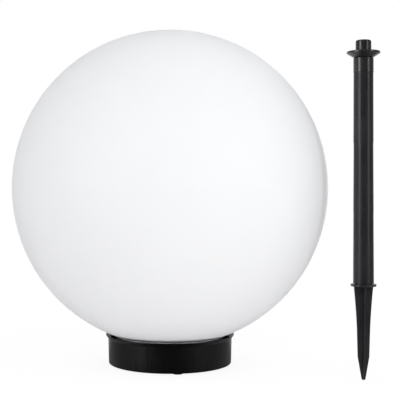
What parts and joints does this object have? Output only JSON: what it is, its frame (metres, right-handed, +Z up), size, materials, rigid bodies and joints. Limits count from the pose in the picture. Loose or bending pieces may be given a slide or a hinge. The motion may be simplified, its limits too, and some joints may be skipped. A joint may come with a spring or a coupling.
{
  "type": "solar garden globe light with ground stake",
  "caption": "Milky globe light on a flared black base with a solar module inside, and the plug-together black ground stake that it can stand on in the garden.",
  "frame": {"origin": "middle of the stake socket's collar, on the plane that the feet and the collar stand on", "axes": "+Z up along the lamp's axis, -Y towards the viewer, with the ground stake on the +X side"},
  "size_m": [0.3344, 0.3, 0.3187],
  "materials": {
    "globe_plastic": "milky translucent, satin",
    "base_plastic": "black, satin",
    "socket_plastic": "black, satin",
    "seal_rubber": "soft black",
    "battery_wrap": "printed film sleeve, plain green",
    "contact_metal": "nickel plated",
    "cover_plastic": "black, satin",
    "switch_plastic": "black",
    "knob_plastic": "black, ridged",
    "lead_insulation": "red insulation",
    "board_laminate": "green solder mask",
    "chip_epoxy": "black epoxy",
    "coil_ferrite": "grey ferrite with varnished wire",
    "capacitor_sleeve": "dark sleeve",
    "carrier_plastic": "black, satin",
    "panel_laminate": "dark laminate",
    "cell_silicon": "dark blue cells with fine grid lines",
    "connector_plastic": "black, satin",
    "tube_plastic": "black, satin",
    "spike_plastic": "black, satin",
    "foot_rubber": "soft black",
    "led_lens": "clear epoxy lens",
    "screw_steel": "zinc plated"
  },
  "bodies": {
    "lamp_base": {"base_cup": "base_plastic", "socket_sleeve": "socket_plastic", "neck_seal": "seal_rubber", "battery": "battery_wrap", "contact_plus": "contact_metal", "contact_minus": "contact_metal", "battery_cover": "cover_plastic", "cover_seal": "seal_rubber", "switch_body": "switch_plastic", "switch_leads": "lead_insulation", "circuit_board": "board_laminate", "driver_chip": "chip_epoxy", "power_coil": "coil_ferrite", "capacitor": "capacitor_sleeve", "panel_carrier": "carrier_plastic", "solar_panel": "panel_laminate", "solar_cells": "cell_silicon", "panel_pins": "contact_metal", "foot_1": "foot_rubber", "led_1": "led_lens", "foot_2": "foot_rubber", "led_2": "led_lens", "foot_3": "foot_rubber", "led_3": "led_lens", "foot_4": "foot_rubber", "led_4": "led_lens", "cover_screw_left": "screw_steel", "cover_screw_right": "screw_steel", "carrier_screw_1": "screw_steel", "carrier_screw_2": "screw_steel", "carrier_screw_3": "screw_steel"},
    "globe": {"globe": "globe_plastic"},
    "switch_knob": {"switch_knob": "knob_plastic"},
    "spike": {"ground_spike": "spike_plastic"},
    "tube_bottom": {"stake_tube_bottom": "tube_plastic"},
    "tube_middle": {"stake_tube_middle": "tube_plastic"},
    "tube_top": {"stake_tube_top": "tube_plastic"},
    "connector": {"stake_connector": "connector_plastic"}
  },
  "joints": [
    {"name": "globe_twist", "type": "hinge", "parent": "lamp_base", "child": "globe", "pos_m": [0, 0, 0.0139], "axis": [0, 0, 1], "range_deg": [0, 36]},
    {"name": "switch_slide", "type": "slide", "parent": "lamp_base", "child": "switch_knob", "axis": [1, 0, 0], "range_m": [0, 0.003]},
    {"name": "stake_lift", "type": "slide", "parent": "lamp_base", "child": "spike", "axis": [0, 0, 1], "range_m": [0, 0.3]},
    {"name": "tube_bottom_pull", "type": "slide", "parent": "spike", "child": "tube_bottom", "axis": [0, 0, 1], "range_m": [0, 0.011]},
    {"name": "tube_middle_pull", "type": "slide", "parent": "tube_bottom", "child": "tube_middle", "axis": [0, 0, 1], "range_m": [0, 0.011]},
    {"name": "tube_top_pull", "type": "slide", "parent": "tube_middle", "child": "tube_top", "axis": [0, 0, 1], "range_m": [0, 0.011]},
    {"name": "connector_pull", "type": "slide", "parent": "tube_top", "child": "connector", "axis": [0, 0, 1], "range_m": [0, 0.011]}
  ]
}
